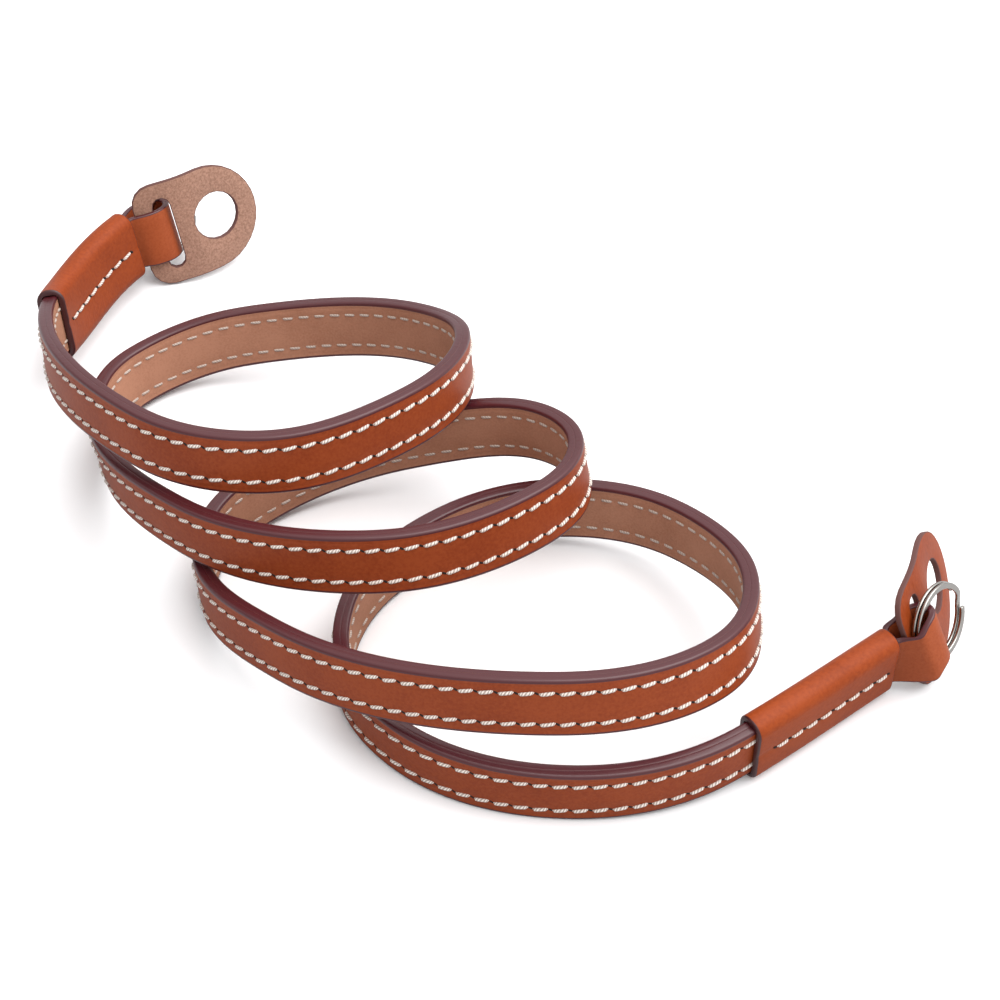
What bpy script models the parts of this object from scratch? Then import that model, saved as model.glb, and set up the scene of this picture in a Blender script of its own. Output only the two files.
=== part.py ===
"""A leather camera strap that lies in a loose coil of three and a half turns.

The strap stands on its edge. Each turn leans over the next one, so the fronts of the
turns are lifted and their backs, with the last turn, rest on the surface.
+X is the side towards which the turns step, -Y is the front, and Z is up.
"""
import math

import bmesh
import bpy
import numpy as np

MM = 0.001

# Driving dimensions, in metres
TURN_RADIUS = 45 * MM       # a middling turn of the coil; the route's table is in shares of it
STRAP_WIDTH = 14 * MM       # the strap stands on its edge, so this is its height too
LAYER = 1.55 * MM           # one layer of leather
LAYER_GAP = 0.3 * MM        # between the two layers of the strap
EDGE_ROUND = 0.5 * MM       # the burnished outer corners
SECTION_STEP = 5 * MM       # a section of the strap every so often
CLEARANCE = 0.3 * MM        # between pieces that touch on the real strap

SLEEVE_LENGTH = 38.5 * MM
SLEEVE_WALL = 1.3 * MM
SLEEVE_FOLD = 2.4 * MM      # radius of the sleeve's folded top and bottom
STRAP_IN_SLEEVE = 20 * MM   # how far the two layers reach into a sleeve

LOOP_WIDTH = 13.2 * MM
LOOP_LEATHER = 1.45 * MM
LOOP_REACH_A = 10.0 * MM     # from sleeve a to the guard's slot
LOOP_REACH_B = 9.8 * MM      # the same at sleeve b

GUARD_LEATHER = 1.3 * MM
GUARD_HALF_WIDTH = 12.9 * MM    # also the radius of its round end
GUARD_ROUND_CENTRE = 10.3 * MM  # from the slot to the round end's centre
GUARD_TAIL = 6.8 * MM           # from the slot to the straight end
GUARD_CORNER = 5.0 * MM
LUG_HOLE_RADIUS = 5.75 * MM
LUG_HOLE_CENTRE = 12.3 * MM     # from the slot
SLOT_WIDTH = 4.2 * MM

RING_RADIUS = 8.6 * MM      # to the outside of the wire
RING_WIRE_DEPTH = 1.3 * MM  # across the wire, towards the ring's centre
RING_WIRE_WIDTH = 0.8 * MM  # one turn of the wire along the ring's axis
RING_COIL_GAP = 0.3 * MM    # between the ring's two turns
RING_TURNS = 1.9            # its two ends leave a gap of a tenth of a turn
RING_STEP_SHARE = 0.7       # of that gap, where the wire steps over to the other turn
RING_STEPS = 76

# The strap's route, a row for each eighth of a turn. The heading is the way that the strap
# runs there, in degrees from +X towards +Y. East and north are shares of TURN_RADIUS. Rise is
# the height of the lower edge in strap widths, and lean tips the upper edge outwards, in degrees.
ROUTE_COLUMNS = ("heading", "east", "north", "rise", "lean")
ROUTE = (
    # from sleeve a, which rests at its outer end, up to the first turn
    (-124, -1.976, 1.69, 0.31, 15),
    (-100, -2.26, 0.98, 0.54, 13),
    (-90, -2.27, 0.84, 0.73, 8),
    # first turn: left, front, right, back
    (-45, -1.69, -0.40, 2.07, -6),
    (0, -1.08, -0.65, 2.29, -10),
    (45, -0.43, -0.33, 2.22, -9),
    (90, -0.17, 0.27, 1.71, -3),
    (135, -0.35, 0.65, 1.16, 4),
    (180, -1.30, 0.95, 0.30, 14),
    (225, -1.85, 0.74, 0.02, 14),
    # second turn
    (270, -1.98, 0.33, 0.20, 11),
    (315, -1.47, -0.71, 1.17, 0),
    (360, -0.54, -1.09, 1.64, -11),
    (405, 0.21, -0.76, 1.62, -12),
    (450, 0.38, -0.37, 1.38, -8),
    (495, 0.24, -0.07, 1.13, 0),
    (540, -0.42, 0.12, 0.48, 10),
    (585, -1.24, -0.20, 0.00, 10),
    # third turn
    (630, -1.41, -0.61, 0.04, 5),
    (675, -1.00, -1.38, 0.77, -3),
    (720, 0.28, -1.89, 1.44, -9),
    (765, 0.97, -1.63, 1.29, -10),
    (810, 1.15, -1.13, 0.92, -5),
    (855, 0.85, -0.50, 0.40, 4),
    (900, 0.22, -0.26, 0.12, 7),
    (945, -0.49, -0.59, 0.01, 3),
    # the last half turn lies on the surface and ends in sleeve b
    (990, -0.73, -1.19, 0.00, 1),
    (1035, -0.49, -1.70, 0.00, 2),
    (1080, 0.38, -2.01, 0.00, 3),
    (1116, 1.08, -1.80, 0.12, 4),
    (1119, 1.77, -1.25, 0.13, 5),
)
ARC_TANGENT = 1.04          # length of a curve's end tangent over its chord, for an eighth of a turn

# Each end's hardware: the way from the sleeve to the guard's slot (heading and slope), then the
# way that the guard and the fold of the loop point (heading, slope and lean), in degrees
END_A_REACH = (20, 6)
END_A_HEADING, END_A_SLOPE, END_A_LEAN = 15, 9, 18
END_B_REACH = (38, 20)
END_B_HEADING, END_B_SLOPE, END_B_LEAN = 66, 4, -20
# How far the guards curl sideways beyond their slot, and twist on towards the round end, in degrees
GUARD_A_CURL, GUARD_A_TWIST = -22, 0
GUARD_B_CURL, GUARD_B_TWIST = 11, 0
GUARD_CURL_START = 2.4 * MM
GUARD_CURL_LENGTH = 6.0 * MM
GUARD_TWIST_LENGTH = 14.0 * MM
# How each ring lies: the way from the wire inside the loop to the ring's middle, in degrees
# from the loop's axis, and how far that wire lies out from the guard's slot
RING_A_SWING, RING_A_SEAT = 45, -4.6 * MM
RING_B_SWING, RING_B_SEAT = 12, -5.9 * MM

STRAP_THICKNESS = 2 * LAYER + LAYER_GAP


def unit(v):
    return v / np.linalg.norm(v)


def direction(heading, slope):
    h, s = math.radians(heading), math.radians(slope)
    return np.array([math.cos(h) * math.cos(s), math.sin(h) * math.cos(s), math.sin(s)])


def hermite(p0, p1, m0, m1, u):
    """A smooth curve from p0 to p1 that leaves along m0 and arrives along m1."""
    h = (2 * u**3 - 3 * u**2 + 1, u**3 - 2 * u**2 + u, -2 * u**3 + 3 * u**2, u**3 - u**2)
    return h[0] * p0 + h[1] * m0 + h[2] * p1 + h[3] * m1


def smooth_values(places, values, at):
    """Values between the table's rows, without a kink at a row."""
    slopes = np.gradient(values, places)
    out = np.empty(len(at))
    row = np.clip(np.searchsorted(places, at, side="right") - 1, 0, len(places) - 2)
    for k in range(len(at)):
        r = row[k]
        span = places[r + 1] - places[r]
        u = (at[k] - places[r]) / span
        out[k] = hermite(values[r], values[r + 1], slopes[r] * span, slopes[r + 1] * span, u)
    return out


def smoothed(points, rounds):
    """The points with small kinks worn off; the two ends stay."""
    for _ in range(rounds):
        points[1:-1] = 0.25 * points[:-2] + 0.5 * points[1:-1] + 0.25 * points[2:]
    return points


def frames(points, leans):
    """The strap's direction, width direction and outer face direction at each point."""
    along = np.gradient(points, axis=0)
    along /= np.linalg.norm(along, axis=1)[:, None]
    up = np.array([0, 0, 1.0]) - along[:, 2:3] * along
    up /= np.linalg.norm(up, axis=1)[:, None]
    level = np.cross(along, up)
    lean = np.radians(leans)[:, None]
    width = np.cos(lean) * up + np.sin(lean) * level
    return along, width, np.cross(along, width)


def strap_route():
    """Centre, direction, width and face direction of the strap, a section every SECTION_STEP."""
    table = np.array(ROUTE, dtype=float)
    heading = np.radians(table[:, 0])
    plan = table[:, 1:3] * TURN_RADIUS
    curve = []
    for k in range(len(plan) - 1):
        chord = np.linalg.norm(plan[k + 1] - plan[k]) * ARC_TANGENT
        m0 = chord * np.array([math.cos(heading[k]), math.sin(heading[k])])
        m1 = chord * np.array([math.cos(heading[k + 1]), math.sin(heading[k + 1])])
        for u in np.linspace(0, 1, 24, endpoint=False):
            curve.append(hermite(plan[k], plan[k + 1], m0, m1, u))
    curve.append(plan[-1])
    curve = np.array(curve)
    run = np.concatenate([[0], np.cumsum(np.linalg.norm(np.diff(curve, axis=0), axis=1))])
    rows = run[::24]
    count = int(run[-1] / MM)
    at = np.linspace(0, run[-1], count)
    x = np.interp(at, run, curve[:, 0])
    y = np.interp(at, run, curve[:, 1])
    leans = smooth_values(rows, table[:, 4], at)
    tip = np.radians(leans)
    half_height = STRAP_WIDTH / 2 * np.cos(tip) + STRAP_THICKNESS / 2 * np.sqrt(np.sin(tip)**2 + 1e-4)
    z = smooth_values(rows, table[:, 3], at) * STRAP_WIDTH + half_height
    points = smoothed(np.stack([x, y, z], axis=1), 14)
    arc = np.concatenate([[0], np.cumsum(np.linalg.norm(np.diff(points, axis=0), axis=1))])
    even = np.linspace(0, arc[-1], round(arc[-1] / SECTION_STEP) + 1)
    points = np.stack([np.interp(even, arc, points[:, k]) for k in range(3)], axis=1)
    leans = np.interp(even, arc, leans)
    return (even, points) + frames(points, leans)


def section_points(route, outline):
    """The outline, in face and width coordinates, set on each section of the route."""
    _, centres, _, widths, faces = route
    return [[c + n * f + w * b for f, b in outline] for c, w, n in zip(centres, widths, faces)]


def part_of(route, start, end):
    """The stretch of the route from start to end, with a section at each."""
    arc = route[0]
    inner = arc[(arc > start + SECTION_STEP / 3) & (arc < end - SECTION_STEP / 3)]
    at = np.concatenate([[start], inner, [end]])
    fields = [np.stack([np.interp(at, arc, f[:, k]) for k in range(3)], axis=1) for f in route[1:]]
    return (at, *fields)


def material(name, colour, roughness, metallic=0.0):
    mat = bpy.data.materials.new(name)
    mat.use_nodes = True
    shader = mat.node_tree.nodes["Principled BSDF"]
    shader.inputs["Base Color"].default_value = (*colour, 1)
    shader.inputs["Roughness"].default_value = roughness
    shader.inputs["Metallic"].default_value = metallic
    mat.diffuse_color = (*colour, 1)
    return mat


def face_outwards(bm):
    bmesh.ops.recalc_face_normals(bm, faces=bm.faces)
    if bm.calc_volume(signed=True) < 0:
        bmesh.ops.reverse_faces(bm, faces=bm.faces)


def add_object(name, bm, mat, collection):
    face_outwards(bm)
    mesh = bpy.data.meshes.new(name)
    bm.to_mesh(mesh)
    bm.free()
    mesh.materials.append(mat)
    mesh.shade_smooth()
    mesh.set_sharp_from_angle(angle=math.radians(35))
    obj = bpy.data.objects.new(name, mesh)
    collection.objects.link(obj)
    return obj


def lofted(name, sections, mat, collection, hollow=False):
    """A solid through like sections: a grid rolled into a tube, then closed.

    The ends are filled, or, for a hollow piece whose sections run out along the outside and
    back along the inside, joined to each other.
    """
    if hollow:
        sections = sections + sections[:1]
    rows, columns = len(sections), len(sections[0])
    bm = bmesh.new()
    bmesh.ops.create_grid(bm, x_segments=columns, y_segments=rows - 1, size=1)
    bm.verts.ensure_lookup_table()
    for k, vert in enumerate(bm.verts):
        vert.co = sections[k // (columns + 1)][k % (columns + 1) % columns]
    bmesh.ops.remove_doubles(bm, verts=bm.verts, dist=1e-6)
    if not hollow:
        bmesh.ops.holes_fill(bm, edges=[e for e in bm.edges if e.is_boundary])
    return add_object(name, bm, mat, collection)


def layer_outline(side):
    """The section of one layer; side is 1 for the outer face and -1 for the lining."""
    inner = side * LAYER_GAP / 2
    outer = side * (LAYER_GAP / 2 + LAYER)
    shoulder = outer - side * EDGE_ROUND
    half = STRAP_WIDTH / 2
    return [(inner, -half), (shoulder, -half), (outer, -half + EDGE_ROUND),
            (outer, half - EDGE_ROUND), (shoulder, half), (inner, half)]


def rounded_outline(half_face, half_width, radius, steps=3):
    """A rectangle with round corners, in face and width coordinates."""
    radius = min(radius, half_face * 0.98)
    outline = []
    for k, (sf, sw) in enumerate(((1, 1), (-1, 1), (-1, -1), (1, -1))):
        for s in range(steps + 1):
            angle = math.pi / 2 * (k + s / steps)
            outline.append((sf * (half_face - radius) + radius * math.cos(angle),
                            sw * (half_width - radius) + radius * math.sin(angle)))
    return outline


def make_sleeve(name, route, mat, collection):
    inner_face = STRAP_THICKNESS / 2 + CLEARANCE
    inner_width = STRAP_WIDTH / 2 + CLEARANCE
    outside = rounded_outline(inner_face + SLEEVE_WALL, inner_width + SLEEVE_WALL, SLEEVE_FOLD)
    inside = rounded_outline(inner_face, inner_width, SLEEVE_FOLD - SLEEVE_WALL)
    sections = section_points(route, outside) + section_points(route, inside)[::-1]
    return lofted(name, sections, mat, collection, hollow=True)


RING_DEPTH = 2 * RING_WIRE_WIDTH + RING_COIL_GAP
RING_MIDDLE_RADIUS = RING_RADIUS - RING_WIRE_DEPTH / 2
# How far the inside of the ring's wire bows away between the loop's two edges
RING_BOW = RING_MIDDLE_RADIUS - math.sqrt((RING_RADIUS - RING_WIRE_DEPTH)**2 - (LOOP_WIDTH / 2)**2)
RING_ROOM = 0.5 * MM        # more for the ring inside the fold
LEG_IN_SLEEVE = LAYER_GAP / 2 + LOOP_LEATHER / 2
STRAIGHT_OUT = 0.8 * MM     # how far the loop leaves the sleeve straight
LEG_STEPS = (0.2, 0.4, 0.6, 0.8)  # where sections lie between the sleeve and the fold
TAIL_ROOM = 0.8 * MM        # beyond the guard's straight end
LEG_BULGE = 1.1             # how far the legs carry on before they turn
LEG_FLARE = 0.6             # how much the legs part right outside the sleeve
FOLD_SLANT = 0.35 * MM      # centres the slanting leather in the slot
# The guard's middle lies this far from the leg on its inner side
INNER_LEG = -(GUARD_LEATHER / 2 + CLEARANCE + LOOP_LEATHER / 2)


class EndFrame:
    """The axes of one end's loop: out of the sleeve, across the leather, and to its outer face.

    Depths across the loop run from the guard's middle: one leg on its inner side, and on its
    outer side the ring's wire, with room for its swing, and then the other leg.
    """

    def __init__(self, centre, reach, length, heading, slope, lean, sign, swing, seat):
        self.out = direction(heading, slope)
        along = self.out * sign
        up = unit(np.array([0, 0, 1.0]) - along[2] * along)
        level = np.cross(along, up)
        tip = math.radians(lean)
        self.width = math.cos(tip) * up + math.sin(tip) * level
        self.face = np.cross(along, self.width)
        self.slot = centre + direction(*reach) * length
        self.swing, self.seat = math.radians(swing), seat
        self.wire = RING_DEPTH / 2 * math.cos(self.swing) + RING_WIRE_DEPTH / 2 * math.sin(self.swing)
        self.ring_middle = GUARD_LEATHER / 2 + CLEARANCE + self.wire
        bow = RING_BOW * math.sin(self.swing) + RING_DEPTH / 2 * math.cos(self.swing)
        self.outer_leg = self.ring_middle + bow + CLEARANCE + RING_ROOM + LOOP_LEATHER / 2
        self.fold_radius = (self.outer_leg - INNER_LEG) / 2
        self.fold_middle = (self.outer_leg + INNER_LEG) / 2
        # the fold crosses the guard's slot slantwise, so its arc is centred back from there
        self.fold_centre = FOLD_SLANT - math.sqrt(self.fold_radius**2 - self.fold_middle**2)

    def place(self, a, b, f):
        """a out from the slot, b across the leather, f to the outer face."""
        return self.slot + self.out * a + self.width * b + self.face * f

    def leg_section(self, point, outward, width, side):
        """A section of a leg, moved so that the leg passes the guard's tail and the ring."""
        a = np.dot(point - self.slot, self.out)
        f = np.dot(point - self.slot, self.face)
        if a < -GUARD_TAIL - TAIL_ROOM:
            return point, outward, width
        beside_ring = self.ring_middle + self.wire + max(a - self.seat, 0) * math.tan(self.swing)
        least = beside_ring + CLEARANCE + LOOP_LEATHER / 2
        wanted = max(f, least) if side > 0 else min(f, INNER_LEG)
        return point + self.face * (wanted - f), self.face * side, self.width


def loop_path(end, inside):
    """Middle line of a loop's leather, leg, fold, leg, with its thickness and width directions."""
    legs = []
    for leg, side in ((INNER_LEG, -1), (end.outer_leg, 1)):
        path = [(centre + face * side * LEG_IN_SLEEVE, face * side, width)
                for centre, face, width in inside]
        mouth, outward, width = path[-1]
        ahead = unit(path[-1][0] - path[-2][0])
        turn = end.place(end.fold_centre, 0, leg)
        bulge = np.linalg.norm(turn - mouth) * LEG_BULGE
        for u in LEG_STEPS:
            flared = unit(ahead + outward * LEG_FLARE)
            point = hermite(mouth, turn, flared * bulge, end.out * bulge, u)
            path.append(end.leg_section(point, outward, width, side))
        path.append((turn, end.face * side, end.width))
        legs.append(path)
    fold = []
    for k in range(1, 8):
        angle = -math.pi / 2 + math.pi * k / 8
        outward = end.out * math.cos(angle) + end.face * math.sin(angle)
        middle = end.place(end.fold_centre, 0, end.fold_middle)
        fold.append((middle + outward * end.fold_radius, outward, end.width))
    return legs[0] + fold + legs[1][::-1]


def make_loop(name, end, inside, mat, collection):
    half, thick = LOOP_WIDTH / 2, LOOP_LEATHER / 2
    sections = []
    for point, outward, width in loop_path(end, inside):
        sections.append([point + outward * s * thick + width * t * half
                         for s, t in ((-1, -1), (1, -1), (1, 1), (-1, 1))])
    return lofted(name, sections, mat, collection)


def guard_outline():
    """The guard's outline on the flat: a straight end with round corners and a round end."""
    outline = []
    for k in range(17):
        angle = math.radians(-90 + 180 * k / 16)
        outline.append((GUARD_ROUND_CENTRE + GUARD_HALF_WIDTH * math.cos(angle),
                        GUARD_HALF_WIDTH * math.sin(angle)))
    for first in (90, 180):
        side = 1 if first == 90 else -1
        for k in range(5):
            angle = math.radians(first + 90 * k / 4)
            outline.append((-GUARD_TAIL + GUARD_CORNER + GUARD_CORNER * math.cos(angle),
                            side * (GUARD_HALF_WIDTH - GUARD_CORNER) + GUARD_CORNER * math.sin(angle)))
    return outline


def slot_outline():
    """A slot with round ends that clears the fold of the loop."""
    radius = SLOT_WIDTH / 2
    half = LOOP_WIDTH / 2 + CLEARANCE + radius
    outline = []
    for side in (1, -1):
        for k in range(6):
            angle = math.radians((0 if side > 0 else 180) + 180 * k / 5)
            outline.append((radius * math.cos(angle), side * (half - radius) + radius * math.sin(angle)))
    return outline


def hole_outline():
    outline = []
    for k in range(20):
        angle = 2 * math.pi * k / 20
        outline.append((LUG_HOLE_CENTRE + LUG_HOLE_RADIUS * math.cos(angle), LUG_HOLE_RADIUS * math.sin(angle)))
    return outline


def flat_plate(name, outline, thickness, collection, mat=None):
    """A prism on an outline in the XY plane, its middle at Z 0."""
    bm = bmesh.new()
    verts = [bm.verts.new((x, y, -thickness / 2)) for x, y in outline]
    face = bmesh.ops.contextual_create(bm, geom=verts)["faces"]
    sides = bmesh.ops.extrude_face_region(bm, geom=face)["geom"]
    bmesh.ops.translate(bm, vec=(0, 0, thickness), verts=[g for g in sides if isinstance(g, bmesh.types.BMVert)])
    return add_object(name, bm, mat or bpy.data.materials["guard leather"], collection)


def curled(end, curl, twist, a, b, f):
    """Where a point of the flat guard goes when the guard curls and twists beyond its slot."""
    total = math.radians(curl)
    if a <= GUARD_CURL_START or total == 0:
        return end.place(a, b, f)
    share = min((a - GUARD_CURL_START) / GUARD_TWIST_LENGTH, 1)
    turn = math.radians(twist) * share * share * (3 - 2 * share)
    b, f = b * math.cos(turn) - f * math.sin(turn), b * math.sin(turn) + f * math.cos(turn)
    radius = GUARD_CURL_LENGTH / total
    turned = min(a - GUARD_CURL_START, GUARD_CURL_LENGTH) / radius
    rest = max(a - GUARD_CURL_START - GUARD_CURL_LENGTH, 0)
    along = GUARD_CURL_START + (radius + f) * math.sin(turned) + rest * math.cos(turned)
    depth = -radius + (radius + f) * math.cos(turned) - rest * math.sin(turned)
    return end.place(along, b, depth)


def make_guard(name, end, curl, twist, mat, collection, cutters):
    plate = flat_plate(name, guard_outline(), GUARD_LEATHER, collection, mat)
    for label, outline in (("slot", slot_outline()), ("hole", hole_outline())):
        cutter = flat_plate(f"cutter_{name}_{label}", outline, 4 * GUARD_LEATHER, cutters, mat)
        cutter.hide_render = True
        cutter.display_type = "WIRE"
        cut = plate.modifiers.new(label, "BOOLEAN")
        cut.operation = "DIFFERENCE"
        cut.solver = "EXACT"
        cut.object = cutter
    bpy.context.view_layer.update()
    flat = plate.evaluated_get(bpy.context.evaluated_depsgraph_get())
    bm = bmesh.new()
    bm.from_mesh(flat.to_mesh())
    plate.modifiers.clear()
    if curl:
        for k in range(9):
            cut_at = GUARD_CURL_START + GUARD_TWIST_LENGTH * k / 8
            bmesh.ops.bisect_plane(bm, geom=bm.verts[:] + bm.edges[:] + bm.faces[:],
                                   plane_co=(cut_at, 0, 0), plane_no=(1, 0, 0))
    bmesh.ops.triangulate(bm, faces=bm.faces)
    for vert in bm.verts:
        vert.co = curled(end, curl, twist, *vert.co)
    face_outwards(bm)
    bm.to_mesh(plate.data)
    bm.free()
    return plate


def make_ring(name, end, mat, collection):
    """Two turns of flat wire whose near side lies inside the loop."""
    away = end.out * math.cos(end.swing) + end.face * math.sin(end.swing)
    axis = np.cross(away, end.width)
    centre = end.place(end.seat, 0, end.ring_middle) + away * RING_MIDDLE_RADIUS
    pitch = RING_WIRE_WIDTH + RING_COIL_GAP
    sections = []
    for k in range(RING_STEPS + 1):
        turned = RING_TURNS * k / RING_STEPS
        # the wire steps over to the second turn in the gap between its two ends
        over = min(max((turned - RING_TURNS / 2) / (2 - RING_TURNS) / RING_STEP_SHARE + 0.5, 0), 1)
        angle = 2 * math.pi * (turned - RING_TURNS / 2)
        radial = away * math.cos(angle) + end.width * math.sin(angle)
        middle = centre + radial * RING_MIDDLE_RADIUS + axis * pitch * (over - 0.5)
        sections.append([middle + radial * r * RING_WIRE_DEPTH / 2 + axis * w * RING_WIRE_WIDTH / 2
                         for r, w in ((-1, -1), (1, -1), (1, 1), (-1, 1))])
    return lofted(name, sections, mat, collection)


def sleeve_inside(route, from_start):
    """Centre, face and width direction of the strap inside a sleeve, from the layers' end outwards."""
    arc, centres, alongs, widths, faces = route
    total = arc[-1]
    deep = SLEEVE_LENGTH - STRAP_IN_SLEEVE - CLEARANCE
    places = [deep, deep * 2 / 3, deep / 3, 0.4 * MM]
    inside = []
    for place in places:
        s = place if from_start else total - place
        centre, width, face = (np.array([np.interp(s, arc, field[:, k]) for k in range(3)])
                               for field in (centres, widths, faces))
        inside.append((centre, unit(face), unit(width)))
    mouth, outward = (centres[0], -alongs[0]) if from_start else (centres[-1], alongs[-1])
    inside.append((mouth + outward * STRAIGHT_OUT, inside[-1][1], inside[-1][2]))
    return inside


def rest_on_origin(collection):
    """Move every piece together, so that the middle of the whole's underside is at the origin."""
    corners = np.array([vert.co for obj in collection.objects for vert in obj.data.vertices])
    low, high = corners.min(axis=0), corners.max(axis=0)
    shift = -np.array([(low[0] + high[0]) / 2, (low[1] + high[1]) / 2, low[2]])
    for obj in collection.objects:
        for vert in obj.data.vertices:
            vert.co = np.array(vert.co) + shift
        obj.data.update()


def main():
    for obj in list(bpy.data.objects):
        bpy.data.objects.remove(obj, do_unlink=True)
    parts = bpy.data.collections.new("camera_strap")
    cutters = bpy.data.collections.new("cutters")
    for collection in (parts, cutters):
        bpy.context.scene.collection.children.link(collection)

    face_leather = material("face leather", (0.36, 0.10, 0.035), 0.45)
    lining_leather = material("lining leather", (0.42, 0.19, 0.12), 0.6)
    sleeve_leather = material("sleeve leather", (0.42, 0.12, 0.04), 0.42)
    guard_leather = material("guard leather", (0.38, 0.20, 0.14), 0.8)
    nickel = material("nickel", (0.75, 0.74, 0.72), 0.2, 1.0)

    route = strap_route()
    total = route[0][-1]
    strap_end = SLEEVE_LENGTH - STRAP_IN_SLEEVE
    strap = part_of(route, strap_end, total - strap_end)
    lofted("strap_face", section_points(strap, layer_outline(1)), face_leather, parts)
    lofted("strap_lining", section_points(strap, layer_outline(-1)), lining_leather, parts)

    make_sleeve("sleeve_a", part_of(route, 0, SLEEVE_LENGTH), sleeve_leather, parts)
    make_sleeve("sleeve_b", part_of(route, total - SLEEVE_LENGTH, total), sleeve_leather, parts)

    end_a = EndFrame(route[1][0], END_A_REACH, LOOP_REACH_A, END_A_HEADING, END_A_SLOPE, END_A_LEAN, -1, RING_A_SWING, RING_A_SEAT)
    end_b = EndFrame(route[1][-1], END_B_REACH, LOOP_REACH_B, END_B_HEADING, END_B_SLOPE, END_B_LEAN, 1, RING_B_SWING, RING_B_SEAT)
    make_loop("end_loop_a", end_a, sleeve_inside(route, True), face_leather, parts)
    make_loop("end_loop_b", end_b, sleeve_inside(route, False), face_leather, parts)
    make_guard("ring_guard_a", end_a, GUARD_A_CURL, GUARD_A_TWIST, guard_leather, parts, cutters)
    make_guard("ring_guard_b", end_b, GUARD_B_CURL, GUARD_B_TWIST, guard_leather, parts, cutters)
    make_ring("split_ring_a", end_a, nickel, parts)
    make_ring("split_ring_b", end_b, nickel, parts)
    rest_on_origin(parts)


main()
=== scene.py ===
"""A long leather camera strap, stitched by hand from two layers and lying in a loose coil.

The strap and its sleeves are lofted again along the same route as the CAD solids, with finer
sections, burnished round edges and stitch grooves. The end loops are lofted again through the
CAD's own sections, and the guards and split rings are copies of the CAD solids with softened
edges. Stitches, and a dark lens of painted shade at each awl hole, are set on the leather by
their pitch. Lengths are in metres unless a name says millimetres.
"""
import math

import bmesh
import bpy
import numpy as np
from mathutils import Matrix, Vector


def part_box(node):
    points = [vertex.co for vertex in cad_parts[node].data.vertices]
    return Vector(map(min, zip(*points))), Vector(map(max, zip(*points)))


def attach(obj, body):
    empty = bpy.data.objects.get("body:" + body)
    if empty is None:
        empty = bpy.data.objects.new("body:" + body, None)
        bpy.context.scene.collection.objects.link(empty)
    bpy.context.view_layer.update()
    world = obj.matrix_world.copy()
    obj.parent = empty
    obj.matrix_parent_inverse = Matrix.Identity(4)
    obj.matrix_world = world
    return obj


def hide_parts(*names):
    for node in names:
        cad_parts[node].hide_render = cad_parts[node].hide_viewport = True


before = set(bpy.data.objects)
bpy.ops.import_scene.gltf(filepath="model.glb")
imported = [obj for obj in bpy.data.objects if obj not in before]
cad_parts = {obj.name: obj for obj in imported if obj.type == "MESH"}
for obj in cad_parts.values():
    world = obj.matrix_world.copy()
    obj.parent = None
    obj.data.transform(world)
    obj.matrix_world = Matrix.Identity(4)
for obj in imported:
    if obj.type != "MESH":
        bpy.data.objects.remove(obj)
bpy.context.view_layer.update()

MM = 0.001
UP = np.array([0, 0, 1.0])

# The strap's sizes and route, as in the CAD source
TURN_RADIUS = 45 * MM
STRAP_WIDTH = 14 * MM
LAYER = 1.55 * MM
LAYER_GAP = 0.3 * MM
CAD_EDGE_ROUND = 0.5 * MM
CAD_STEP = 5 * MM
SLEEVE_LENGTH = 38.5 * MM
SLEEVE_WALL = 1.3 * MM
SLEEVE_FOLD = 2.4 * MM
STRAP_IN_SLEEVE = 20 * MM
CLEARANCE = 0.3 * MM
STRAP_THICKNESS = 2 * LAYER + LAYER_GAP
HALF_WIDTH = STRAP_WIDTH / 2

# A row for each eighth of a turn: heading in degrees, east and north in turn radii, rise of
# the lower edge in strap widths, and outward lean of the upper edge in degrees
ROUTE = (
    (-124, -1.976, 1.69, 0.31, 15),
    (-100, -2.26, 0.98, 0.54, 13),
    (-90, -2.27, 0.84, 0.73, 8),
    (-45, -1.69, -0.40, 2.07, -6),
    (0, -1.08, -0.65, 2.29, -10),
    (45, -0.43, -0.33, 2.22, -9),
    (90, -0.17, 0.27, 1.71, -3),
    (135, -0.35, 0.65, 1.16, 4),
    (180, -1.30, 0.95, 0.30, 14),
    (225, -1.85, 0.74, 0.02, 14),
    (270, -1.98, 0.33, 0.20, 11),
    (315, -1.47, -0.71, 1.17, 0),
    (360, -0.54, -1.09, 1.64, -11),
    (405, 0.21, -0.76, 1.62, -12),
    (450, 0.38, -0.37, 1.38, -8),
    (495, 0.24, -0.07, 1.13, 0),
    (540, -0.42, 0.12, 0.48, 10),
    (585, -1.24, -0.20, 0.00, 10),
    (630, -1.41, -0.61, 0.04, 5),
    (675, -1.00, -1.38, 0.77, -3),
    (720, 0.28, -1.89, 1.44, -9),
    (765, 0.97, -1.63, 1.29, -10),
    (810, 1.15, -1.13, 0.92, -5),
    (855, 0.85, -0.50, 0.40, 4),
    (900, 0.22, -0.26, 0.12, 7),
    (945, -0.49, -0.59, 0.01, 3),
    (990, -0.73, -1.19, 0.00, 1),
    (1035, -0.49, -1.70, 0.00, 2),
    (1080, 0.38, -2.01, 0.00, 3),
    (1116, 1.08, -1.80, 0.12, 4),
    (1119, 1.77, -1.25, 0.13, 5),
)
ARC_TANGENT = 1.04
STEPS_PER_ROW = 24          # points of the curve for each row of the route
ROUTE_EASING = 14           # rounds of smoothing along the route

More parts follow.
